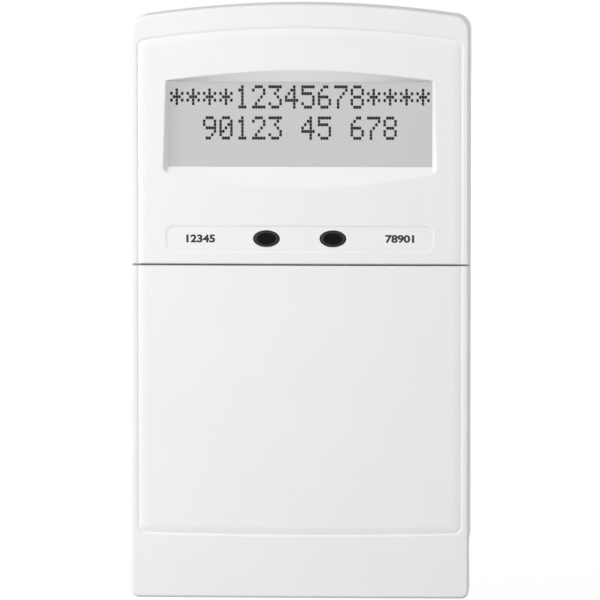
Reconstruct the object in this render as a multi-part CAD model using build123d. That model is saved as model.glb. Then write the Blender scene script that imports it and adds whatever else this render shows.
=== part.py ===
from build123d import *

import os
from math import degrees, sqrt

# Alarm keypad panel for a wall. A two-part case holds a two-line display and two status lamps, and a
# door that folds down covers sixteen keys. Millimetres: +X is to the right, +Z is up, and the wall is
# the plane y = 0, with the panel in front of it. A "depth" is a distance in front of the wall, y = -depth.

# Case and face
case_width = 107.0
case_top = 93.8  # crown of the arched top edge
case_foot = -77.0  # underside of the case, above the chin of the door
case_depth = 27.2  # depth of the frame at mid width
back_depth = 10.0  # depth of the back case's own walls
case_gap = 0.4  # shadow gap where the front case meets the back case
wall = 2.2
front_wall = 3.2  # from the frame's surface to the inside of the front wall
face_sag = 0.6  # how far the face falls back from mid width to the sides
top_arc_radius = 340.0
top_corner = 5.0
case_foot_corner = 1.5
edge_round = 1.0
least_corner = 0.8  # where an inset outline would have none left
back_edge_round = 0.6

# Pillowed panel, and the rounded lip where the frame dips to meet it
frame_side = 1.7
frame_band = 6.9
lip_width = 0.7
lip_depth = 0.25
root_depth = 0.06  # from the foot of the lip to the edge of the panel
panel_rise = 0.1
panel_corner = 3.3
panel_edge_width = 2.5  # from the edge of the panel to where it runs level
panel_foot = -74.9
panel_foot_sag = 0.7

# Door
part_line = 11.5  # height of the line between the hood and the door
part_gap = 0.6
part_bevel = 0.3  # on the front edges that face each other across that line
door_foot = -94.3
door_foot_corner = 2.4
door_skin = 2.3
door_cheek = 2.0
door_top_wall = 1.6
door_foot_wall = 2.2
door_seat_gap = 0.4  # between the door's edge and the deck's face
chin_depth = 14.0  # depth of the rear edge of the chin
chin_heel = 3.2  # height of that edge
chin_step = 0.9  # from the underside of the case to the top of the chin's slope

# Hinge of the door
hinge_depth = 19.5
hinge_rise = 7.3  # axis above the foot of the door
hinge_pin_radius = 1.6
hinge_clearance = 0.05
hinge_pin_chamfer = 0.3
ear_radius = 3.0
ear_thickness = 2.6
ear_side_gap = 0.4

# Display
view_width = 83.6
view_height = 26.9
view_middle = 55.85
view_corner = 0.2
recess_rim_round = 0.6
recess_floor = 0.8  # upright wall below the foot of the recess's slopes
recess_side_top = 0.4
recess_side_foot = 1.7
recess_crown = 3.8
recess_head = 0.4
recess_foot = 2.2
recess_keel = 6.6
recess_corner = 2.4
recess_top_corner = 0.8
window_margin_x = 3.0
window_margin_z = 2.6
window_thickness = 1.0
window_corner = 1.5
glass_margin_x = 2.7
glass_margin_z = 4.0
glass_thickness = 2.2
bezel_skin = 0.4
bezel_fit = 0.3
bezel_overlap = 1.9
contact_height = 5.4
contact_width = 1.6
contact_inset = 0.7
backlight_gap = 0.2

# Status lamps and their strip
strip_width = 83.8
strip_height = 7.5
strip_middle = 19.8
strip_corner = 2.2
strip_dip = 0.2  # from the panel's surface down to the strip's face
strip_dip_width = 0.8
strip_thickness = 0.25
strip_clearance = 0.02
lamp_spacing = 21.0
lamp_width = 8.2
lamp_height = 5.1
lamp_clearance = 0.15
lamp_flange = 1.0
lamp_flange_thickness = 1.2
lamp_set_back = 0.3
lamp_edge_round = 0.8
led_radius = 2.5
led_rim_radius = 2.9
led_rim_height = 1.0
led_height = 7.0
led_tip_flat = 0.1

# Keys, key mat and deck
key_legends = [["1", "2", "3", "a"], ["4", "5", "6", "b"], ["7", "8", "9", "c"], ["star", "0", "hash", "d"]]
key_pitch_x = 22.5
key_pitch_z = 17.5
key_middle = -31.5
key_width = 15.0
key_height = 10.0
key_corner = 3.0
key_edge_round = 0.8
key_rise = 2.4
key_travel = 1.2
key_door_gap = 1.0
key_hole_clearance = 0.3
key_skirt = 1.0
key_skirt_thickness = 0.9
key_pill_radius = 2.5
key_pill_thickness = 0.4
key_rest_gap = 0.2  # left under the pill when the key is down
deck_thickness = 2.0
mat_web = 1.0
mat_collar = 1.2
mat_margin = 1.0
mat_corner = 2.0
backlight_led = (1.6, 1.2, 0.7)
backlight_led_hole = 2.2

# Board and what fastens it
board_thickness = 1.6
board_inset = 1.2
board_corner = 1.5
boss_radius = 3.0
boss_from_side = 9.0
boss_from_top = 12.5
boss_below_part_line = 3.5
boss_from_foot = 7.0
boss_pilot_radius = 1.2
screw_clearance = 0.05
screw_length = 6.0
screw_head_radius = 2.6
screw_head_height = 1.7
screw_hole_radius = 1.6
screw_slot = (3.2, 0.7, 0.8)

# Parts on the back of the board: place (x, z) and size
controller_place = (-18.0, 34.0)
controller_size = (14.0, 14.0, 1.6)
driver_places = [(6.0, 34.0), (28.0, 34.0)]
driver_size = (10.3, 7.5, 2.3)
crystal_place = (-18.0, 20.0)
crystal_size = (11.0, 4.5, 3.5)
crystal_corner = 2.0
resistor_row = (-36.0, 12.0)
resistor_pitch = 3.4
resistor_count = 12
resistor_size = (2.0, 1.25, 0.6)
regulator_place = (-36.0, -56.0)
regulator_size = (10.0, 9.0, 4.4)
regulator_tab = (10.0, 4.0, 1.3)
capacitor_places = [(-38.0, -36.0), (-38.0, -24.0), (38.0, -40.0)]
capacitor_radius = 4.0
capacitor_height = 8.0
capacitor_edge_round = 0.5
sounder_place = (24.0, 62.0)
sounder_radius = 11.0
sounder_height = 8.0
sounder_mouth = 1.5
terminal_place = (0.0, -54.0)
terminal_count = 4
terminal_pitch = 5.08
terminal_height = 9.0  # along Z
terminal_depth = 9.6
terminal_end = 1.0
terminal_wire_hole = (3.0, 3.4, 5.0)
terminal_screw_radius = 1.9
terminal_screw_height = 1.4
terminal_screw_clearance = 0.15
terminal_screw_sink = 2.0
tamper_place = (36.0, -12.0)
tamper_size = (6.2, 6.2, 3.5)
tamper_spring_radius = 2.2
tamper_spring_wire = 0.5
tamper_spring_turns = 5
tamper_peg_radius = 1.4
tamper_peg_height = 2.0

# Back case
rim_clearance = 0.2
rim_thickness = 1.2
rim_height = 2.2
slot_spacing_x = 60.0
slot_spacing_z = 130.0
slot_length = 8.0
slot_width = 4.4
slot_pad = 2.0
slot_pad_thickness = 1.2
entry_width = 24.0
entry_height = 24.0
entry_middle = -26.0
entry_corner = 3.0
knockout_radius = 9.0
knockout_groove = 0.8
knockout_depth = 1.0
knockout_height = 44.0
post_radius = 2.5
post_gap = 0.1
post_places = [(-22.5, -31.5), (22.5, -31.5), (0.0, 2.0)]
vent_count = 7
vent_pitch = 5.0
vent_width = 2.0
vent_depth = 4.0

# Sizes worked out from those above
half_width = case_width / 2
panel_depth = case_depth + panel_rise
bow_radius = (half_width**2 + face_sag**2) / (2 * face_sag)
lip_radius = (lip_width**2 + lip_depth**2) / (2 * lip_depth)
panel_edge_drop = panel_rise + lip_depth + root_depth
panel_edge_radius = (panel_edge_width**2 + panel_edge_drop**2) / (2 * panel_edge_drop)
strip_dip_radius = (strip_dip_width**2 + strip_dip**2) / (2 * strip_dip)
strip_front = panel_depth - strip_dip
strip_back = strip_front - strip_thickness
inner_front = case_depth - front_wall  # depth of the inside of the hood's front wall
hood_foot = part_line + part_gap / 2
door_top = part_line - part_gap / 2
hood_height = case_top - hood_foot
window_back = inner_front - window_thickness
glass_front = window_back - bezel_skin
glass_back = glass_front - glass_thickness
board_front = glass_back - contact_height
board_back = board_front - board_thickness
door_inner = case_depth - door_skin
key_top = door_inner - key_door_gap
deck_front = key_top - key_rise
deck_back = deck_front - deck_thickness
key_foot = board_front + key_rest_gap + key_travel
hinge_height = door_foot + hinge_rise
ear_outer = half_width - door_cheek - ear_side_gap
board_half = half_width - wall - board_inset
lamp_front = panel_depth - lamp_set_back
through = 2 * case_depth  # longer than any wall is thick


def rise(radius, half):
    """Height of an arc of this radius above its chord, from the half length of the chord."""
    return radius - sqrt(radius**2 - half**2)


def block(sketch, start, end):
    """A sketch in x and z, given thickness from one depth to another."""
    return extrude(Plane.XZ.offset(start) * sketch, amount=end - start)


def slab(x, z, width, height, start, end):
    return block(Pos(x, z) * Rectangle(width, height), start, end)


def round_slab(x, z, width, height, corner, start, end):
    return block(Pos(x, z) * RectangleRounded(width, height, corner), start, end)


def rod(x, z, radius, start, end):
    return block(Pos(x, z) * Circle(radius), start, end)


def chip(place, size):
    """A plain body on the back of the board."""
    return slab(*place, size[0], size[1], board_back - size[2], board_back)


def arched(half, crown, radius, foot, high_corner, low_corner, foot_sag=0.0):
    """An outline with straight sides, an arched top and a level or slightly bowed foot."""
    shoulder = crown - rise(radius, half)
    left, right = (-half, shoulder), (half, shoulder)
    foot_left, foot_right = (-half, foot + foot_sag), (half, foot + foot_sag)
    head = ThreePointArc(left, (0, crown), right)
    if foot_sag:
        base = ThreePointArc(foot_right, (0, foot), foot_left)
    else:
        base = Line(foot_right, foot_left)
    outline = make_face([head, Line(right, foot_right), base, Line(foot_left, left)])
    outline = fillet(outline.vertices().sort_by(Axis.Y)[-2:], high_corner)
    return fillet(outline.vertices().sort_by(Axis.Y)[:2], low_corner)


def case_outline(inset=0.0, foot=case_foot, low_corner=case_foot_corner):
    high, low = max(top_corner - inset, least_corner), max(low_corner - inset, least_corner)
    return arched(half_width - inset, case_top - inset, top_arc_radius - inset, foot + inset, high, low)


def panel_outline(inset):
    """The line where the frame's lip meets the panel, moved in or out."""
    inset += lip_width
    crown, radius = case_top - frame_band - inset, top_arc_radius - frame_band - inset
    half, corner = half_width - frame_side - inset, panel_corner - inset
    return arched(half, crown, radius, panel_foot + inset, corner, corner, panel_foot_sag)


def bowed(depth):
    """Everything behind a face that bows forward to this depth at mid width."""
    half = half_width + panel_edge_radius
    edge = depth - rise(bow_radius, half)
    front = ThreePointArc((-half, -edge), (0, -depth), (half, -edge))
    plan = make_face([front, Polyline((half, -edge), (half, 0), (-half, 0), (-half, -edge))])
    low = door_foot - wall
    return Pos(0, 0, low) * extrude(plan, amount=case_top + panel_edge_radius - low)


def face_form():
    """The outside of the case and the door in one: frame with its lip, and the pillowed panel."""
    form = block(case_outline(0.0, door_foot, door_foot_corner), 0, through) & bowed(case_depth)
    form = fillet(form.faces().sort_by(Axis.Y)[0].edges(), edge_round)
    form -= block(panel_outline(lip_radius - lip_width), 0, through) - bowed(case_depth - 2 * lip_radius)
    form = fillet(form.faces().sort_by(Axis.Y)[0].inner_wires()[0].edges(), lip_radius)
    panel = block(panel_outline(panel_edge_width - panel_edge_radius), 0, through) & bowed(panel_depth)
    panel = fillet(panel.faces().sort_by(Axis.Y)[0].edges(), panel_edge_radius)
    return form + (panel & block(panel_outline(0.0), wall, through))


def front_bevel(height, up):
    """What softens the front edge that runs across the face at this height."""
    rear, front = -panel_depth + part_bevel, -panel_depth - part_bevel
    points = [(rear, height), (front, height), (front, height + 2 * up * part_bevel)]
    profile = Plane.YZ * make_face(Polyline(*points, close=True))
    axis = Axis((0, bow_radius - panel_depth, 0), (0, 0, 1))
    arc = degrees(case_width / bow_radius)
    return revolve(profile, axis, arc).rotate(axis, -arc / 2)


def recess_outline():
    """The outline of the display's recess in the face: arched above, bellied below."""
    high, low = view_middle + view_height / 2, view_middle - view_height / 2
    half_high, half_low = view_width / 2 + recess_side_top, view_width / 2 + recess_side_foot
    left, right = (-half_high, high + recess_head), (half_high, high + recess_head)
    foot_left, foot_right = (-half_low, low - recess_foot), (half_low, low - recess_foot)
    head = ThreePointArc(left, (0, high + recess_crown), right)
    belly = ThreePointArc(foot_right, (0, low - recess_keel), foot_left)
    outline = make_face([head, Line(right, foot_right), belly, Line(foot_left, left)])
    outline = fillet(outline.vertices().sort_by(Axis.Y)[:2], recess_corner)
    return fillet(outline.vertices().sort_by(Axis.Y)[-2:], recess_top_corner)


def recess_cut():
    """The sloping recess, down to the opening that the display shows through."""
    opening = Pos(0, view_middle) * Rectangle(view_width, view_height)
    opening = fillet(opening.vertices(), view_corner)
    foot = inner_front + recess_floor
    inner, outer = Plane.XZ.offset(foot) * opening, Plane.XZ.offset(panel_depth) * recess_outline()
    slopes = loft([inner, outer], ruled=True)
    return slopes + block(opening, inner_front - recess_floor, foot)


def strip_outline(grow=0.0):
    width, height = strip_width + 2 * grow, strip_height + 2 * grow
    return Pos(0, strip_middle) * RectangleRounded(width, height, strip_corner + grow)


def with_strip_seat(hood):
    """The hood with a gentle dip down to the strip's face, and the pocket that the strip lies in."""
    pocket = block(strip_outline(), 0, through) - bowed(strip_back)
    wall_line = strip_outline(strip_dip_width - strip_dip_radius)
    hood -= block(wall_line, 0, through) - bowed(panel_depth - 2 * strip_dip_radius)
    rims = hood.faces().sort_by(Axis.Y)[0].inner_wires().sort_by(Axis.Z)
    hood = fillet(rims[0].edges(), strip_dip_radius)
    floor = block(strip_outline(strip_dip_width / 2), inner_front, through) & bowed(strip_front)
    return (hood - pocket) + (floor - pocket)


def boss_places():
    x = half_width - boss_from_side
    heights = [case_top - boss_from_top, part_line - boss_below_part_line, case_foot + boss_from_foot]
    return [(side * x, z) for z in heights for side in (-1, 1)]


def lamp_places():
    return [(side * lamp_spacing / 2, strip_middle) for side in (-1, 1)]


def key_places():
    """Each key's name and its centre."""
    places = {}
    for row, names in enumerate(key_legends):
        for column, name in enumerate(names):
            x = (column - (len(names) - 1) / 2) * key_pitch_x
            z = key_middle - (row - (len(key_legends) - 1) / 2) * key_pitch_z
            places["key_" + name] = (x, z)
    return places


def key_backlight_places():
    xs = [(column - 1) * key_pitch_x for column in range(3)]
    zs = [key_middle + (row - 1) * key_pitch_z for row in range(3)]
    return [(x, z) for x in xs for z in zs]


def oval(place, grow=0.0):
    return Pos(*place) * Ellipse(lamp_width / 2 + grow, lamp_height / 2 + grow)


def front_case(form):
    """Hood with the display's recess, deck with the key holes, and the ears that carry the door."""
    rear = back_depth + case_gap
    hood = form & slab(0, hood_foot + hood_height, 2 * case_width, 2 * hood_height, rear, through)
    hood -= front_bevel(hood_foot, 1) + recess_cut()
    hood = fillet(hood.faces().sort_by(Axis.Y)[0].inner_wires()[0].edges(), recess_rim_round)
    hood = with_strip_seat(hood)
    lower = block(case_outline(), rear, deck_front)
    body = hood + lower
    body -= block(case_outline(wall), 0, deck_back)
    above = Pos(0, hood_foot + wall + hood_height) * Rectangle(case_width, 2 * hood_height)
    hollow = case_outline(wall) & above
    body -= block(hollow, 0, inner_front)
    for place in lamp_places():
        body -= block(oval(place, lamp_clearance), 0, through)
    grow = 2 * key_hole_clearance
    for place in key_places().values():
        corner = key_corner + key_hole_clearance
        body -= round_slab(*place, key_width + grow, key_height + grow, corner, 0, through)
    for x, z in boss_places():
        seat = inner_front if z > hood_foot else deck_back
        body += rod(x, z, boss_radius, board_front, seat)
        end = board_back + screw_length + screw_clearance
        body -= rod(x, z, boss_pilot_radius + screw_clearance, 0, end)
    for side in (-1, 1):
        body += ear(side)
    return body


def ear(side):
    """One hinge ear, hanging from the underside of the case."""
    profile = Circle(ear_radius)
    length = case_foot + wall / 2 - hinge_height
    profile += Pos(0, length / 2) * Rectangle(2 * ear_radius, length)
    profile -= Circle(hinge_pin_radius + hinge_clearance)
    left_face = side * ear_outer - (ear_thickness if side > 0 else 0)
    at = Plane.YZ.offset(left_face) * Pos(-hinge_depth, hinge_height)
    return extrude(at * profile, amount=ear_thickness)


def door(form):
    """Thin skin with shallow cheeks, a chin below the case, and two stub pins that it hinges on."""
    edge, slope = deck_front + door_seat_gap, case_foot - chin_step
    points = [(-edge, door_top), (-through, door_top), (-through, door_foot), (-chin_depth, door_foot)]
    points += [(-chin_depth, door_foot + chin_heel), (-edge, slope)]
    profile = make_face(Polyline(*points, close=True))
    body = form & extrude(Plane.YZ.offset(-case_width) * profile, amount=2 * case_width)
    body -= front_bevel(door_top, -1)
    high, low = door_top - door_top_wall, door_foot + door_foot_wall
    width = case_width - 2 * door_cheek
    body -= round_slab(0, (high + low) / 2, width, high - low, door_top_wall / 2, 0, door_inner)
    for side in (-1, 1):
        tip = ear_outer - ear_thickness - hinge_pin_chamfer
        root = half_width - door_cheek / 2
        pin = chamfer(Cylinder(hinge_pin_radius, root - tip).edges().sort_by(Axis.Z)[-1], hinge_pin_chamfer)
        pin = Pos(side * (root + tip) / 2, -hinge_depth, hinge_height) * Rot(0, -90 * side, 0) * pin
        body += pin
    return body


def back_case():
    """Shallow tray against the wall, with slotted screw holes and the way in for the cable."""
    body = block(case_outline(), 0, back_depth)
    body = fillet(body.faces().sort_by(Axis.Y)[-1].edges(), back_edge_round)
    body -= block(case_outline(wall), wall, through)
    outer = wall + rim_clearance
    rim = case_outline(outer) - case_outline(outer + rim_thickness)
    body += block(rim, back_depth - wall, back_depth + rim_height)
    root = case_outline(wall / 2) - case_outline(outer + rim_thickness)
    body += block(root, back_depth - wall, back_depth)
    for sx in (-1, 1):
        for sz in (-1, 1):
            x, z = sx * slot_spacing_x / 2, sz * slot_spacing_z / 2
            pad = SlotOverall(slot_length + 2 * slot_pad, slot_width + 2 * slot_pad)
            body += block(Pos(x, z) * pad, wall, wall + slot_pad_thickness)
            body -= block(Pos(x, z) * SlotOverall(slot_length, slot_width), 0, back_depth)
    body -= round_slab(0, entry_middle, entry_width, entry_height, entry_corner, 0, back_depth)
    groove = Circle(knockout_radius) - Circle(knockout_radius - knockout_groove)
    body -= block(Pos(0, knockout_height) * groove, 0, knockout_depth)
    for place in post_places:
        body += rod(*place, post_radius, wall, board_back - post_gap)
    for number in range(vent_count):
        x = (number - (vent_count - 1) / 2) * vent_pitch
        height = 2 * wall
        depth = (back_depth - vent_depth) / 2
        body -= slab(x, case_foot, vent_width, height, depth + wall / 2, depth + wall / 2 + vent_depth)
    return body


def display_window():
    width, height = view_width + 2 * window_margin_x, view_height + 2 * window_margin_z
    return round_slab(0, view_middle, width, height, window_corner, window_back, inner_front)


def glass_size():
    return view_width + 2 * glass_margin_x, view_height + 2 * glass_margin_z


def display_bezel():
    """Pressed frame that holds the glass and its contacts down on the board."""
    width, height = glass_size()
    inner_width, inner_height = width + 2 * bezel_fit, height + 2 * bezel_fit
    outer_width, outer_height = inner_width + 2 * bezel_skin, inner_height + 2 * bezel_skin
    body = round_slab(0, view_middle, outer_width, outer_height, bezel_skin, board_front, window_back)
    body -= slab(0, view_middle, inner_width, inner_height, 0, glass_front)
    sight_width, sight_height = width - 2 * bezel_overlap, height - 2 * bezel_overlap
    return body - slab(0, view_middle, sight_width, sight_height, 0, through)


def display_glass():
    return slab(0, view_middle, *glass_size(), glass_back, glass_front)


def display_contacts():
    """Two striped rubber strips that join the glass to the board."""
    width, height = glass_size()
    offset = height / 2 - contact_inset - contact_width / 2
    length = width - 2 * contact_inset
    ends = (view_middle + offset, view_middle - offset)
    return [slab(0, z, length, contact_width, board_front, glass_back) for z in ends]


def display_backlight():
    width, height = glass_size()
    clear = 2 * (contact_inset + contact_width + backlight_gap)
    return slab(0, view_middle, width - clear, height - clear, board_front, glass_back - backlight_gap)


def main_board():
    board = arched(
        board_half,
        case_top - half_width + board_half,
        top_arc_radius - half_width + board_half,
        case_foot + half_width - board_half,
        board_corner,
        board_corner,
    )
    for place in boss_places():
        board -= Pos(*place) * Circle(screw_hole_radius)
    return block(board, board_back, board_front)


def board_screws():
    screws = []
    rear = board_back - screw_head_height
    slot_length, slot_width, slot_depth = screw_slot
    for place in boss_places():
        head = rod(*place, screw_head_radius, rear, board_back)
        head -= slab(*place, slot_length, slot_width, 0, rear + slot_depth)
        screws.append(head + rod(*place, boss_pilot_radius, board_back, board_back + screw_length))
    return screws


def regulator():
    x, z = regulator_place
    body = chip(regulator_place, regulator_size)
    reach = (regulator_size[1] + regulator_tab[1]) / 2
    return body + chip((x, z + reach), regulator_tab)


def capacitor(place):
    body = rod(*place, capacitor_radius, board_back - capacitor_height, board_back)
    return fillet(body.edges().sort_by(Axis.Y)[-1], capacitor_edge_round)


def crystal():
    width, height, thickness = crystal_size
    return round_slab(*crystal_place, width, height, crystal_corner, board_back - thickness, board_back)


def resistors():
    x, z = resistor_row
    return [chip((x + number * resistor_pitch, z), resistor_size) for number in range(resistor_count)]


def sounder():
    body = rod(*sounder_place, sounder_radius, board_back - sounder_height, board_back)
    return body - rod(*sounder_place, sounder_mouth, 0, board_back - sounder_height / 2)


def terminal_places():
    x, z = terminal_place
    middle = (terminal_count - 1) / 2
    return [(x + (number - middle) * terminal_pitch, z) for number in range(terminal_count)]


def terminal_block():
    width = terminal_count * terminal_pitch + 2 * terminal_end
    body = chip(terminal_place, (width, terminal_height, terminal_depth))
    hole_width, hole_depth, reach = terminal_wire_hole
    top = terminal_place[1] + terminal_height / 2
    for x, z in terminal_places():
        start = board_back - hole_depth - terminal_end
        body -= slab(x, top, hole_width, 2 * reach, start, start + hole_depth)
        well = terminal_screw_sink + terminal_screw_height
        radius = terminal_screw_radius + terminal_screw_clearance
        body -= rod(x, z, radius, 0, board_back - terminal_depth + well)
    return body


def terminal_screws():
    rear = board_back - terminal_depth + terminal_screw_sink
    slot_width, slot_depth = screw_slot[1:]
    screws = []
    for place in terminal_places():
        screw = rod(*place, terminal_screw_radius, rear, rear + terminal_screw_height)
        screws.append(screw - slab(*place, 2 * terminal_screw_radius, slot_width, 0, rear + slot_depth))
    return screws


def status_strip():
    strip = block(strip_outline(-strip_clearance), 0, through) & bowed(strip_front)
    strip -= bowed(strip_back)
    for place in lamp_places():
        strip -= block(oval(place, lamp_clearance), 0, through)
    return strip


def lamp(place):
    """Oval smoked lens with a flange behind the hood's front wall."""
    body = block(oval(place), inner_front - lamp_flange_thickness, lamp_front)
    body = fillet(body.edges().sort_by(Axis.Y)[0], lamp_edge_round)
    return body + block(oval(place, lamp_flange), inner_front - lamp_flange_thickness, inner_front)


def led(place):
    body = rod(*place, led_radius, board_front, board_front + led_height)
    body = fillet(body.edges().sort_by(Axis.Y)[0], led_radius - led_tip_flat)
    return body + rod(*place, led_rim_radius, board_front, board_front + led_rim_height)


def skirt_size():
    return key_width + 2 * key_skirt, key_height + 2 * key_skirt


def key_mat():
    """Rubber sheet on the board, with a collar round each key that stands up to the deck."""
    skirt_width, skirt_height = skirt_size()
    hole_width, hole_height = skirt_width + 2 * key_hole_clearance, skirt_height + 2 * key_hole_clearance
    collar_width, collar_height = hole_width + 2 * mat_collar, hole_height + 2 * mat_collar
    rows, columns = len(key_legends), len(key_legends[0])
    width = (columns - 1) * key_pitch_x + collar_width + 2 * mat_margin
    height = (rows - 1) * key_pitch_z + collar_height + 2 * mat_margin
    corner = key_corner + key_skirt + key_hole_clearance
    mat = round_slab(0, key_middle, width, height, mat_corner, board_front, board_front + mat_web)
    for place in key_places().values():
        mat += round_slab(*place, collar_width, collar_height, corner + mat_collar, board_front, deck_back)
        mat -= round_slab(*place, hole_width, hole_height, corner, 0, through)
    for place in key_backlight_places():
        mat -= slab(*place, backlight_led_hole, backlight_led_hole, 0, through)
    return mat


def key_backlights():
    width, height, thickness = backlight_led
    front = board_front + thickness
    return [slab(*place, width, height, board_front, front) for place in key_backlight_places()]


def key(place):
    """Rubber key: cap, skirt that keeps it behind the deck, and contact pill."""
    skirt_foot = key_foot + key_pill_thickness
    cap = round_slab(*place, key_width, key_height, key_corner, skirt_foot, key_top)
    cap = fillet(cap.faces().sort_by(Axis.Y)[0].edges(), key_edge_round)
    corner = key_corner + key_skirt
    cap += round_slab(*place, *skirt_size(), corner, skirt_foot, skirt_foot + key_skirt_thickness)
    return cap + rod(*place, key_pill_radius, key_foot, skirt_foot)


def tamper_switch():
    rear = board_back - tamper_size[2]
    peg = rod(*tamper_place, tamper_peg_radius, rear - tamper_peg_height, rear)
    return chip(tamper_place, tamper_size) + peg


def tamper_spring():
    """Coil spring between the switch and the back case; it lifts the switch when the case is opened."""
    x, z = tamper_place
    length = board_back - tamper_size[2] - wall - tamper_spring_wire
    coil = Helix(length / tamper_spring_turns, length, tamper_spring_radius)
    section = Plane(coil @ 0, z_dir=coil % 0) * Circle(tamper_spring_wire / 2)
    spring = sweep(section, path=coil, is_frenet=True)
    return Pos(x, -(wall + tamper_spring_wire / 2), z) * Rot(90, 0, 0) * spring


face = face_form()
lamps, keys = lamp_places(), key_places()

parts = {
    "back_case": back_case(),
    "front_case": front_case(face),
    "door": door(face),
    "display_window": display_window(),
    "display_bezel": display_bezel(),
    "display_glass": display_glass(),
    "display_contacts": Compound(display_contacts()),
    "display_backlight": display_backlight(),
    "status_strip": status_strip(),
    "armed_lamp": lamp(lamps[0]),
    "ready_lamp": lamp(lamps[1]),
    "armed_led": led(lamps[0]),
    "ready_led": led(lamps[1]),
    "main_board": main_board(),
    "board_screws": Compound(board_screws()),
    "controller_chip": chip(controller_place, controller_size),
    "driver_chips": Compound([chip(place, driver_size) for place in driver_places]),
    "crystal": crystal(),
    "resistors": Compound(resistors()),
    "voltage_regulator": regulator(),
    "capacitors": Compound([capacitor(place) for place in capacitor_places]),
    "sounder": sounder(),
    "terminal_block": terminal_block(),
    "terminal_screws": Compound(terminal_screws()),
    "tamper_switch": tamper_switch(),
    "tamper_spring": tamper_spring(),
    "key_mat": key_mat(),
    "key_backlights": Compound(key_backlights()),
}
parts.update({name: key(place) for name, place in keys.items()})

os.makedirs("parts", exist_ok=True)
for name, shape in parts.items():
    export_step(shape, f"parts/{name}.step")
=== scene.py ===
import math

import bmesh
import bpy
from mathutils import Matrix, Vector
from mathutils.bvhtree import BVHTree


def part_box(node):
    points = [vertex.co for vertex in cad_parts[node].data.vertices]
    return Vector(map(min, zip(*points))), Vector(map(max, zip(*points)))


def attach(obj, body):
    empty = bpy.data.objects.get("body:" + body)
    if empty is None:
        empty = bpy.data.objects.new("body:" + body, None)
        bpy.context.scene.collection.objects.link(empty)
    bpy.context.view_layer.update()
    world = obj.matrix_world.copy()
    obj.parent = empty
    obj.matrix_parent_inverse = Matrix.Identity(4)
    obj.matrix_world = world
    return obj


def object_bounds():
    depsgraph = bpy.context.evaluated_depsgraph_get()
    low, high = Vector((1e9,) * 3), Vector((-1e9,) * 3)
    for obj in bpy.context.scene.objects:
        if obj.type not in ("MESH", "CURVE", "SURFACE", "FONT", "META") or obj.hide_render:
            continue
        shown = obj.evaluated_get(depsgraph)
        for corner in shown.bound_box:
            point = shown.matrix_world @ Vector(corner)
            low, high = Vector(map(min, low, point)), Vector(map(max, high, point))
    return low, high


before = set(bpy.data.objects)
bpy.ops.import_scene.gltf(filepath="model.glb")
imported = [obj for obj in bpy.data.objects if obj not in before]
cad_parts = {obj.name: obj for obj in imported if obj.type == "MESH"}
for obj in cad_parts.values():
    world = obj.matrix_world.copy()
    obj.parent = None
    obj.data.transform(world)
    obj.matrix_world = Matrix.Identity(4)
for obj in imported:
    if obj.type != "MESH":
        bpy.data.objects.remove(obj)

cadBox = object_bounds()
mm = 0.001
print("panel loaded:", len(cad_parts), "nodes")


def linear(hexColour):  # sRGB hex to the linear values that sockets take
    parts = [int(hexColour[i:i + 2], 16) / 255 for i in (1, 3, 5)]
    return [p / 12.92 if p <= 0.04045 else ((p + 0.055) / 1.055) ** 2.4 for p in parts] + [1.0]


def addNode(tree, kind, settings=None, links=None):  # settings are sockets, or properties of the node
    node = tree.nodes.new("ShaderNode" + kind)
    for name, value in (settings or {}).items():
        if isinstance(name, int) or name in node.inputs:
            node.inputs[name].default_value = value
        else:
            setattr(node, name, value)
    for name, socket in (links or {}).items():
        tree.links.new(socket, node.inputs[name])
    return node


layerLook = {"wide": 2.4, "waver": 0.2}  # mm; real layers are 0.1 mm, drawn wider to show


def layerPattern(tree):  # stripes across the length of a strip
    place = addNode(tree, "TexCoord").outputs["Object"]
    settings = {"Scale": 1 / (layerLook["wide"] * mm), "Distortion": layerLook["waver"]}
    return addNode(tree, "TexWave", settings, {"Vector": place}).outputs["Fac"]


# the grey band along a lamp's edge is a painted highlight, not a tone of the acrylic
rimHighlightLook = {"flange": 1.0, "band": (0.70, 0.80)}  # mm, and where the band begins as a share of the lens


# the band this mask gives is where the painted rim highlight goes
def rimHighlightPattern(tree):  # 0 over the middle of a lamp, 1 in a band along its edge
    own = addNode(tree, "TexCoord").outputs["Generated"]
    low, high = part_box("armed_lamp")
    flanges = 2 * rimHighlightLook["flange"] * mm
    reach = [(edge - flanges) / edge / 2 for edge in (high.x - low.x, high.z - low.z)]
    centred = addNode(tree, "VectorMath", {"operation": "SUBTRACT", 1: (0.5, 0.5, 0.5)}, {0: own})
    scaled = addNode(tree, "VectorMath", {"operation": "MULTIPLY", 1: (1 / reach[0], 0, 1 / reach[1])},
                     {0: centred.outputs[0]})
    away = addNode(tree, "VectorMath", {"operation": "LENGTH"}, {0: scaled.outputs[0]})
    band = {"From Min": rimHighlightLook["band"][0], "From Max": rimHighlightLook["band"][1]}
    return addNode(tree, "MapRange", band, {"Value": away.outputs["Value"]}).outputs["Result"]


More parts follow.
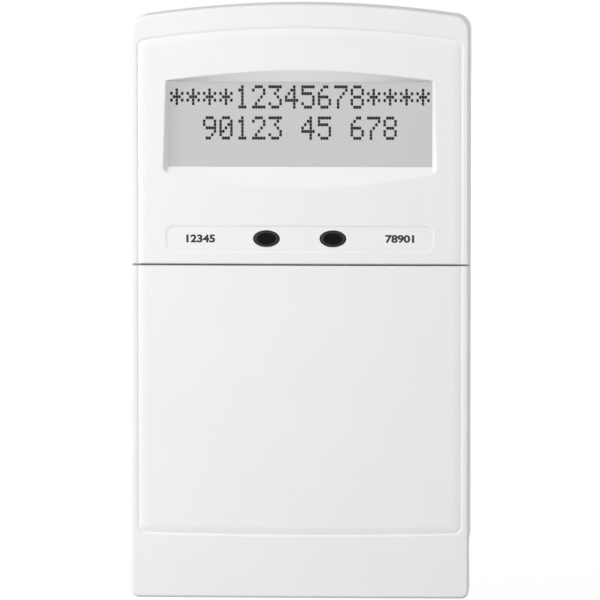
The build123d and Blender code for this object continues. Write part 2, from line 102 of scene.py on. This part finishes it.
# Sizes are in mm: "clouds" is how wide the patches of the two tones are, "grain" how wide the grains
# of roughness and bump are. Moulded texture is under 0.1 mm, so its grain is drawn coarser, to show.
finishes = {
    # ABS, injection moulded in a fine-sparked tool: even off-white with a broad, soft highlight
    "mouldedAbs": dict(tones=("#f0f0f0", "#ededed"), clouds=18, rough=(0.46, 0.56), grain=0.55, bump=0.004,
                       shader={"IOR": 1.54, "Specular IOR Level": 0.35}),
    # polyester film, printed on its back: a shade smoother and flatter than the case round it
    "printedFilm": dict(tones=("#f0f0f0", "#ededed"), clouds=12, rough=(0.34, 0.42), grain=0.40, bump=0.002,
                        shader={"IOR": 1.57}),
    # screen ink, cured: dense black with a dull skin
    "screenInk": dict(tones=("#0a0a0b", "#0f0f10"), clouds=2, rough=(0.45, 0.55), grain=0.20, bump=0.002,
                      shader={"IOR": 1.5}),
    # liquid crystal, driven dark: black cells that stop at sharp edges
    "drivenCrystal": dict(tones=("#060706", "#0a0b0a"), clouds=2, rough=(0.30, 0.40), grain=0.20, bump=0.001,
                          shader={"IOR": 1.5, "Specular IOR Level": 0.1}),
    # liquid crystal glass over its backlight: flat pale grey whose glow is partly the backlight and partly
    # painted light, strong over a dark base so that the case's shade hardly shows on it
    "crystalGlassPaintedGlow": dict(tones=("#5a5c5b", "#555756"), clouds=0.8, rough=(0.28, 0.32), grain=0.8,
                            bump=0.001, shader={"IOR": 1.52, "Emission Color": linear("#f4f6f5"),
                                                "Emission Strength": 0.54}),
    # acrylic, polished: nearly unseen, with a faint sheen
    "polishedAcrylic": dict(tones=("#8f9391", "#8a8e8c"), clouds=4, rough=(0.04, 0.08), grain=4, bump=0.0005,
                            shader={"IOR": 1.49, "Alpha": 0.05}),
    # acrylic, dyed and moulded: black, with a greyer band along its edge that is a painted highlight,
    # standing for light caught by its rounded rim
    "smokedAcrylic": dict(tones=("#050605", "#3b3e3c"), pattern=rimHighlightPattern, clouds=1, rough=(0.26, 0.34),
                          grain=0.5, bump=0.001, shader={"IOR": 1.49, "Specular IOR Level": 0.1}),
    # silicone rubber, moulded: grey-white keys, soft and dull
    "mouldedSilicone": dict(tones=("#d8d9d6", "#d2d3d0"), clouds=6, rough=(0.55, 0.65), grain=0.50,
                            bump=0.004, shader={"IOR": 1.41}),
    # silicone rubber of the mat: a tone darker than the keys
    "siliconeMat": dict(tones=("#c9cac5", "#c2c3be"), clouds=9, rough=(0.60, 0.70), grain=0.50, bump=0.004,
                        shader={"IOR": 1.41}),
    # silicone ink, fired on the keys: charcoal that stays dull
    "siliconeInk": dict(tones=("#26282b", "#2c2e31"), clouds=2, rough=(0.50, 0.60), grain=0.25, bump=0.002,
                        shader={"IOR": 1.41}),
    # acrylic, filled and moulded: milky light guide
    "milkyAcrylic": dict(tones=("#e6e8e2", "#dfe1da"), clouds=10, rough=(0.25, 0.35), grain=0.60, bump=0.002,
                         shader={"IOR": 1.49}),
    # epoxy, cast clear round the diode: cloudy grey-green, glossy
    "castEpoxy": dict(tones=("#b9c0b2", "#aeb5a7"), clouds=2, rough=(0.12, 0.20), grain=0.50, bump=0.001,
                      shader={"IOR": 1.55}),
    # epoxy with silica, transfer moulded: black and matt
    "chipEpoxy": dict(tones=("#17181a", "#1d1e20"), clouds=3, rough=(0.50, 0.62), grain=0.15, bump=0.004,
                      shader={"IOR": 1.55}),
    # alumina chip, glazed: black glassy top
    "glazedCeramic": dict(tones=("#1f2022", "#2a2b2d"), clouds=1, rough=(0.25, 0.35), grain=0.20, bump=0.002,
                          shader={"IOR": 1.6}),
    # PPO shell of the sounder, moulded: black with a low sheen
    "mouldedPpo": dict(tones=("#141415", "#1a1a1b"), clouds=6, rough=(0.42, 0.52), grain=0.40, bump=0.004,
                       shader={"IOR": 1.57}),
    # nylon of the terminals, moulded: green, waxy
    "greenNylon": dict(tones=("#1f6a48", "#1b6041"), clouds=4, rough=(0.38, 0.48), grain=0.35, bump=0.004,
                       shader={"IOR": 1.53}),
    # nylon of the switch, moulded: black, waxy
    "blackNylon": dict(tones=("#2a2b2d", "#242527"), clouds=2, rough=(0.40, 0.50), grain=0.25, bump=0.004,
                       shader={"IOR": 1.53}),
    # silicone with carbon layers, sliced: thin dark and pink stripes
    "stripedSilicone": dict(tones=("#d99aa4", "#2b2426"), pattern=layerPattern, clouds=1, rough=(0.55, 0.65),
                            grain=0.30, bump=0.002, shader={"IOR": 1.41}),
    # glass laminate under solder mask: deep glossy green with a faint weave
    "solderMask": dict(tones=("#15532f", "#19603a"), clouds=2.5, rough=(0.22, 0.32), grain=0.45, bump=0.004,
                       shader={"IOR": 1.55}),
    # copper under the same mask: a lighter, yellower green
    "maskedCopper": dict(tones=("#2f8250", "#378a57"), clouds=2.5, rough=(0.22, 0.32), grain=0.45, bump=0.002,
                         shader={"IOR": 1.55}),
    # tin solder, frozen: bright beads, slightly clouded
    "frozenSolder": dict(tones=("#c6c8ca", "#b2b5b7"), clouds=0.6, rough=(0.22, 0.38), grain=0.4, bump=0.003,
                         shader={"Metallic": 1.0}),
    # steel, zinc plated: broken grey reflection
    "zincPlate": dict(tones=("#c4c5c3", "#b4b6b6"), clouds=0.8, rough=(0.28, 0.42), grain=0.8, bump=0.002,
                      shader={"Metallic": 1.0}),
    # steel, pressed and tin plated: paler and smoother
    "tinPlate": dict(tones=("#b9bbbd", "#a9acae"), clouds=1.5, rough=(0.30, 0.40), grain=1.5, bump=0.002,
                     shader={"Metallic": 1.0}),
    # aluminium cans, drawn: pale with a satin gloss
    "drawnAluminium": dict(tones=("#c9cbcd", "#bcbfc2"), clouds=1.2, rough=(0.24, 0.34), grain=1.2,
                           bump=0.002, shader={"Metallic": 1.0}),
    # painted floor of the studio: plain, pale and dull
    "paleFloor": dict(tones=("#9c9c9c", "#999999"), clouds=400, rough=(0.85, 0.95), grain=3, bump=0.01,
                      shader={"IOR": 1.5}),
}


surfaceLook = {"cloudDetail": 1.0, "bumpStrength": 0.5}


def makeFinish(name, look):
    material = bpy.data.materials.new(name)
    material.use_nodes = True
    tree = material.node_tree
    tree.nodes.clear()
    place = addNode(tree, "TexCoord").outputs["Object"]
    if "pattern" in look:
        share = look["pattern"](tree)
    else:
        clouds = {"Scale": 1 / (look["clouds"] * mm), "Detail": surfaceLook["cloudDetail"]}
        share = addNode(tree, "TexNoise", clouds, {"Vector": place}).outputs["Fac"]
    fine = addNode(tree, "TexNoise", {"Scale": 1 / (look["grain"] * mm)}, {"Vector": place}).outputs["Fac"]
    first, second = (linear(tone) for tone in look["tones"])
    colour = addNode(tree, "Mix", {"data_type": "RGBA", 6: first, 7: second}, {0: share})
    low, high = look["rough"]
    rough = addNode(tree, "MapRange", {"To Min": low, "To Max": high}, {"Value": fine}).outputs[0]
    relief = {"Strength": surfaceLook["bumpStrength"], "Distance": look["bump"] * mm}
    bump = addNode(tree, "Bump", relief, {"Height": fine}).outputs[0]
    surface = {"Base Color": colour.outputs[2], "Roughness": rough, "Normal": bump}
    shader = addNode(tree, "BsdfPrincipled", look["shader"], surface)
    addNode(tree, "OutputMaterial", None, {"Surface": shader.outputs[0]})
    return material


materials = {name: makeFinish(name, look) for name, look in finishes.items()}
print("materials made:", len(materials))

nodeFinish = {
    "mouldedAbs": ["back_case", "front_case", "door"],
    "polishedAcrylic": ["display_window"],
    "crystalGlassPaintedGlow": ["display_glass"],
    "stripedSilicone": ["display_contacts"],
    "milkyAcrylic": ["display_backlight"],
    "printedFilm": ["status_strip"],
    "smokedAcrylic": ["armed_lamp", "ready_lamp"],
    "castEpoxy": ["armed_led", "ready_led", "key_backlights"],
    "solderMask": ["main_board"],
    "zincPlate": ["board_screws", "terminal_screws", "tamper_spring"],
    "tinPlate": ["display_bezel", "crystal"],
    "drawnAluminium": ["capacitors"],
    "chipEpoxy": ["controller_chip", "driver_chips", "voltage_regulator"],
    "glazedCeramic": ["resistors"],
    "mouldedPpo": ["sounder"],
    "greenNylon": ["terminal_block"],
    "blackNylon": ["tamper_switch"],
    "siliconeMat": ["key_mat"],
}
finishOf = {node: finish for finish, nodes in nodeFinish.items() for node in nodes}
keyNames = [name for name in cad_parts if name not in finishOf]  # every other node is a key
for name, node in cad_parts.items():
    node.data.materials.clear()
    node.data.materials.append(materials[finishOf.get(name, "mouldedSilicone")])
print("nodes painted:", len(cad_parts), "of them keys:", len(keyNames))


def addPiece(name, mesh, finish, body):
    piece = bpy.data.objects.new(name, mesh)
    bpy.context.scene.collection.objects.link(piece)
    piece.data.materials.clear()
    piece.data.materials.append(materials[finish])
    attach(piece, body)
    return piece


def roundedRing(wide, tall, radius, steps):  # points of a rounded rectangle about the origin
    ring = []
    for quarter, (sx, sz) in enumerate(((1, 1), (-1, 1), (-1, -1), (1, -1))):
        for step in range(steps + 1):
            angle = math.radians(90 * (quarter + step / steps))
            ring.append((sx * (wide / 2 - radius) + radius * math.cos(angle),
                         sz * (tall / 2 - radius) + radius * math.sin(angle)))
    return ring


def addLayers(work, ring, x, z, layers):  # closed solid from copies of a ring, each at a depth and a scale
    rows = [[work.verts.new((x + px * scale, y, z + pz * scale)) for px, pz in ring] for y, scale in layers]
    work.faces.new(list(reversed(rows[0])))
    work.faces.new(rows[-1])
    count = len(ring)
    for low, high in zip(rows, rows[1:]):
        for i in range(count):
            work.faces.new((low[i], low[(i + 1) % count], high[(i + 1) % count], high[i]))


def finishMesh(work, name):
    bmesh.ops.recalc_face_normals(work, faces=work.faces)
    mesh = bpy.data.meshes.new(name)
    work.to_mesh(mesh)
    work.free()
    return mesh


dotMatrix = {
    "*": ["     ", "  #  ", "# # #", " ### ", "# # #", "  #  ", "     "],
    "0": [" ### ", "#   #", "#  ##", "# # #", "##  #", "#   #", " ### "],
    "1": ["  #  ", " ##  ", "  #  ", "  #  ", "  #  ", "  #  ", " ### "],
    "2": [" ### ", "#   #", "    #", "   # ", "  #  ", " #   ", "#####"],
    "3": ["#####", "   # ", "  #  ", "   # ", "    #", "#   #", " ### "],
    "4": ["   # ", "  ## ", " # # ", "#  # ", "#####", "   # ", "   # "],
    "5": ["#####", "#    ", "#### ", "    #", "    #", "#   #", " ### "],
    "6": ["  ## ", " #   ", "#    ", "#### ", "#   #", "#   #", " ### "],
    "7": ["#####", "    #", "   # ", "  #  ", " #   ", " #   ", " #   "],
    "8": [" ### ", "#   #", "#   #", " ### ", "#   #", "#   #", " ### "],
    "9": [" ### ", "#   #", "#   #", " ####", "    #", "   # ", " ##  "],
}
displayText = {
    "lines": ["****12345678****", "  90123 45 678  "],
    "rest": (3.0, 2.6),  # how far the window reaches past the opening, mm
    "left": 1.0, "top": 1.7,  # of the first dot's centre, from the corner of the opening
    "cell": 5.19, "line": 9.83, "dotX": 0.856, "dotZ": 1.07,  # pitches
    "dotWide": 0.83, "dotTall": 1.02, "round": 0.22, "roundSteps": 3,
    "clear": 0.001, "thick": 0.05,  # from the glass to the back and the front of a dot
}


def addDisplayDots(look):
    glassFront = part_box("display_glass")[0].y
    low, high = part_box("display_window")
    cornerX, cornerZ = low.x + look["rest"][0] * mm, high.z - look["rest"][1] * mm
    ring = roundedRing(look["dotWide"] * mm, look["dotTall"] * mm, look["round"] * mm, look["roundSteps"])
    layers = [(glassFront - look[face] * mm, 1.0) for face in ("clear", "thick")]
    work = bmesh.new()
    for row, text in enumerate(look["lines"]):
        for column, letter in enumerate(text):
            for line, dots in enumerate(dotMatrix.get(letter, [])):
                for place, dot in enumerate(dots):
                    if dot == "#":
                        x = cornerX + (look["left"] + column * look["cell"] + place * look["dotX"]) * mm
                        z = cornerZ - (look["top"] + row * look["line"] + line * look["dotZ"]) * mm
                        addLayers(work, ring, x, z, layers)
    addPiece("display_dots", finishMesh(work, "display_dots"), "drivenCrystal", "case")


addDisplayDots(displayText)
print("display text made")


rayLead = 10  # mm in front of the node, where the rays that look for its surface start


def frontOf(node):  # tells how far forward the node's surface lies at a point
    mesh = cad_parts[node].data
    tree = BVHTree.FromPolygons([v.co for v in mesh.vertices], [p.vertices for p in mesh.polygons])
    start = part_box(node)[0].y - rayLead * mm
    return lambda x, z: tree.ray_cast((x, start, z), (0, 1, 0))[0].y


def addPrint(name, text, size, centre, node, look, body):  # thin raised print that follows the surface
    curve = bpy.data.curves.new(name, "FONT")
    curve.body = text
    curve.extrude = 1.0
    curve.offset = look["bold"]  # as a share of the letter's size
    holder = bpy.data.objects.new(name, curve)
    mesh = bpy.data.meshes.new_from_object(holder)
    bpy.data.objects.remove(holder)
    low = Vector([min(v.co[i] for v in mesh.vertices) for i in range(3)])
    high = Vector([max(v.co[i] for v in mesh.vertices) for i in range(3)])
    tall = size[1] / (high.y - low.y)
    wide = size[0] / (high.x - low.x) if size[0] else tall
    front = frontOf(node)
    for v in mesh.vertices:
        x = centre[0] + (v.co.x - (low.x + high.x) / 2) * wide
        z = centre[1] + (v.co.y - (low.y + high.y) / 2) * tall
        v.co = x, front(x, z) - (look["thick"] * mm if v.co.z > 0 else 0.0), z
    addPiece(name, mesh, look["ink"], body)


# numbers of the built-in face, where the real strip has its words
stripPrint = {"marks": {"left": ("12345", -31.3), "right": ("78901", 31.6)}, "size": (9.1, 2.55),
              "bold": 0.04, "thick": 0.02, "ink": "screenInk"}
stripLow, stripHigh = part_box("status_strip")
for side, (text, x) in stripPrint["marks"].items():
    addPrint("strip_print_" + side, text, [edge * mm for edge in stripPrint["size"]],
             (x * mm, (stripLow.z + stripHigh.z) / 2), "status_strip", stripPrint, "case")

keyPrint = {"height": 4.6, "starShare": 0.6, "bold": 0.02, "thick": 0.02, "ink": "siliconeInk",
            "marks": {"star": "*", "hash": "#", "a": "A", "b": "B", "c": "C", "d": "D"}}
for name in keyNames:
    low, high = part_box(name)
    mark = name[len("key_"):]
    tall = keyPrint["height"] * mm * (keyPrint["starShare"] if mark == "star" else 1.0)
    addPrint(name + "_print", keyPrint["marks"].get(mark, mark), (0, tall),
             ((low.x + high.x) / 2, (low.z + high.z) / 2), name, keyPrint, name)
print("prints made:", len(keyNames) + len(stripPrint["marks"]))


def addRibbon(work, points, wide, back, front):  # a flat strip along a path of x and z points
    points = [Vector(p) for p in points]
    sides = []
    for i, point in enumerate(points):
        before = (point - points[i - 1]).normalized() if i else None
        after = (points[i + 1] - point).normalized() if i + 1 < len(points) else None
        way = ((before or after) + (after or before)).normalized()
        across = Vector((-way.y, way.x)) * wide / 2 / way.dot(after or before)  # keeps its width in a bend
        sides.append((point + across, point - across))
    rows = [[work.verts.new((p.x, y, p.y)) for p, y in ((a, back), (a, front), (b, front), (b, back))]
            for a, b in sides]
    work.faces.new(rows[0])
    work.faces.new(list(reversed(rows[-1])))
    for low, high in zip(rows, rows[1:]):
        for i in range(4):
            work.faces.new((low[i], low[(i + 1) % 4], high[(i + 1) % 4], high[i]))


# the bus from the keys to the terminals, on the back of the board, seen through the cable entry
busLook = {"count": 12, "pitch": 3.4, "narrow": 0.5, "wide": 0.55, "thick": 0.05,
           "high": 6.0, "turn": -20.0, "low": -46.0, "viaRadius": 0.6, "viaHeight": 0.16, "viaSteps": 4,
           "viaDome": [(0.6, 0.85), (1.0, 0.35)],  # shares of its height, and how wide it is there
           "clear": 0.001, "stagger": 1.5, "staggers": 3, "stubRise": 6.0, "stubStep": 2.2, "stubs": 4}


def addBoardBus(look):
    skin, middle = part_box("main_board")[1].y, (look["count"] - 1) / 2
    tracks, vias = bmesh.new(), bmesh.new()
    radius = look["viaRadius"] * mm
    ring = roundedRing(2 * radius, 2 * radius, radius, look["viaSteps"])
    dome = [(look["clear"], 1.0)] + [(look["viaHeight"] * share, scale) for share, scale in look["viaDome"]]
    layers = [(skin + y * mm, scale) for y, scale in dome]
    for number in range(look["count"]):
        x = (number - middle) * look["pitch"]
        shift = -x * (1 - look["narrow"])
        turn = look["turn"] - look["stagger"] * (number % look["staggers"])
        path = [(x, look["high"]), (x, turn), (x + shift, turn - abs(shift)), (x + shift, look["low"])]
        path = [(px * mm, pz * mm) for px, pz in path]
        addRibbon(tracks, path, look["wide"] * mm, skin + look["clear"] * mm, skin + look["thick"] * mm)
        for px, pz in (path[0], path[-1]):
            addLayers(vias, ring, px, pz, layers)
        rise = look["stubRise"] + look["stubStep"] * (number % look["stubs"])
        stub = x * mm, (look["turn"] + rise) * mm  # where a key's own track comes through
        addLayers(vias, ring, *stub, layers)
    addPiece("board_tracks", finishMesh(tracks, "board_tracks"), "maskedCopper", "case")
    addPiece("board_vias", finishMesh(vias, "board_vias"), "frozenSolder", "case")


addBoardBus(busLook)
print("board tracks made")

stageLook = {
    "floorDrop": 30, "floorRadius": 5000, "floorSteps": 96,
    "glowNear": 0.71, "glowFar": 0.90, "glowReach": 1200,  # lifts the floor to white, less so near the panel
    "above": 0.41, "below": 0.30,  # strength of the room's light
}


def seenDirectly(tree):  # 1 for what the camera, gloss and glass see, 0 for what lights the panel
    path = addNode(tree, "LightPath")
    either = addNode(tree, "Math", {"operation": "MAXIMUM"},
                     {0: path.outputs["Is Camera Ray"], 1: path.outputs["Is Glossy Ray"]})
    return addNode(tree, "Math", {"operation": "MAXIMUM"},
                   {0: either.outputs[0], 1: path.outputs["Is Transmission Ray"]}).outputs[0]


def makeFloor(look):
    work = bmesh.new()
    bmesh.ops.create_circle(work, cap_ends=True, segments=look["floorSteps"], radius=look["floorRadius"] * mm)
    floor = bpy.data.objects.new("floor", finishMesh(work, "floor"))
    floor.location.z = cadBox[0].z - look["floorDrop"] * mm
    bpy.context.scene.collection.objects.link(floor)
    floor.data.materials.append(materials["paleFloor"])
    tree = materials["paleFloor"].node_tree
    shader = next(node for node in tree.nodes if node.type == "BSDF_PRINCIPLED")
    place = addNode(tree, "TexCoord").outputs["Object"]
    away = addNode(tree, "VectorMath", {"operation": "LENGTH"}, {0: place}).outputs["Value"]
    reach = {"From Max": look["glowReach"] * mm, "To Min": look["glowNear"], "To Max": look["glowFar"]}
    glow = addNode(tree, "MapRange", reach, {"Value": away})
    shown = addNode(tree, "Math", {"operation": "MULTIPLY"}, {0: glow.outputs[0], 1: seenDirectly(tree)})
    shader.inputs["Emission Color"].default_value = linear("#ffffff")
    tree.links.new(shown.outputs[0], shader.inputs["Emission Strength"])


def makeWorld(look):
    world = bpy.data.worlds.new("softRoom")
    bpy.context.scene.world = world
    world.use_nodes = True
    tree = world.node_tree
    tree.nodes.clear()
    way = addNode(tree, "TexCoord").outputs["Generated"]
    height = addNode(tree, "SeparateXYZ", None, {"Vector": way}).outputs["Z"]
    glow = addNode(tree, "MapRange", {"From Min": -1.0, "To Min": look["below"], "To Max": look["above"]},
                   {"Value": height})
    sources = {"Value": seenDirectly(tree), "To Min": glow.outputs[0]}
    strength = addNode(tree, "MapRange", {"To Max": 1.0}, sources)
    room = addNode(tree, "Background", {"Color": linear("#ffffff")}, {"Strength": strength.outputs[0]})
    addNode(tree, "OutputWorld", None, {"Surface": room.outputs[0]})


def aim(thing, target):
    thing.rotation_mode = "QUATERNION"
    thing.rotation_quaternion = (Vector(target) - thing.location).to_track_quat("-Z", "Y")


lamps = {  # metres and watts
    "keyPanel": dict(place=(-0.62, -0.64, 0.24), size=0.5, power=6.8),
    "fillPanel": dict(place=(0.95, -0.50, 0.10), size=0.6, power=3.0),
}


def makeLamp(name, look):
    data = bpy.data.lights.new(name, "AREA")
    data.shape, data.size, data.energy = "SQUARE", look["size"], look["power"]
    lamp = bpy.data.objects.new(name, data)
    lamp.visible_camera = False
    lamp.location = look["place"]
    aim(lamp, (0, 0, 0))
    bpy.context.scene.collection.objects.link(lamp)


# almost level with the panel and square to it; "across" is what the frame takes in, mm
cameraLook = {"azimuth": 2.7, "elevation": 4.2, "distance": 2110, "across": 189.5,
              "aimAt": (0.12, -27.3, 0.44), "sensor": 36.0, "clip": (0.1, 20.0)}


def makeCamera(look):
    a, e = math.radians(look["azimuth"]), math.radians(look["elevation"])
    back = Vector((math.sin(a) * math.cos(e), -math.cos(a) * math.cos(e), math.sin(e)))
    data = bpy.data.cameras.new("camera")
    data.sensor_width = look["sensor"]
    data.lens = look["sensor"] * look["distance"] / look["across"]
    data.clip_start, data.clip_end = look["clip"]
    camera = bpy.data.objects.new("camera", data)
    target = Vector(look["aimAt"]) * mm
    camera.location = target + back * look["distance"] * mm
    aim(camera, target)
    bpy.context.scene.collection.objects.link(camera)
    bpy.context.scene.camera = camera


makeFloor(stageLook)
makeWorld(stageLook)
for name, look in lamps.items():
    makeLamp(name, look)
makeCamera(cameraLook)
bpy.context.scene.view_settings.view_transform = "Standard"
print("stage, lamps and camera set")
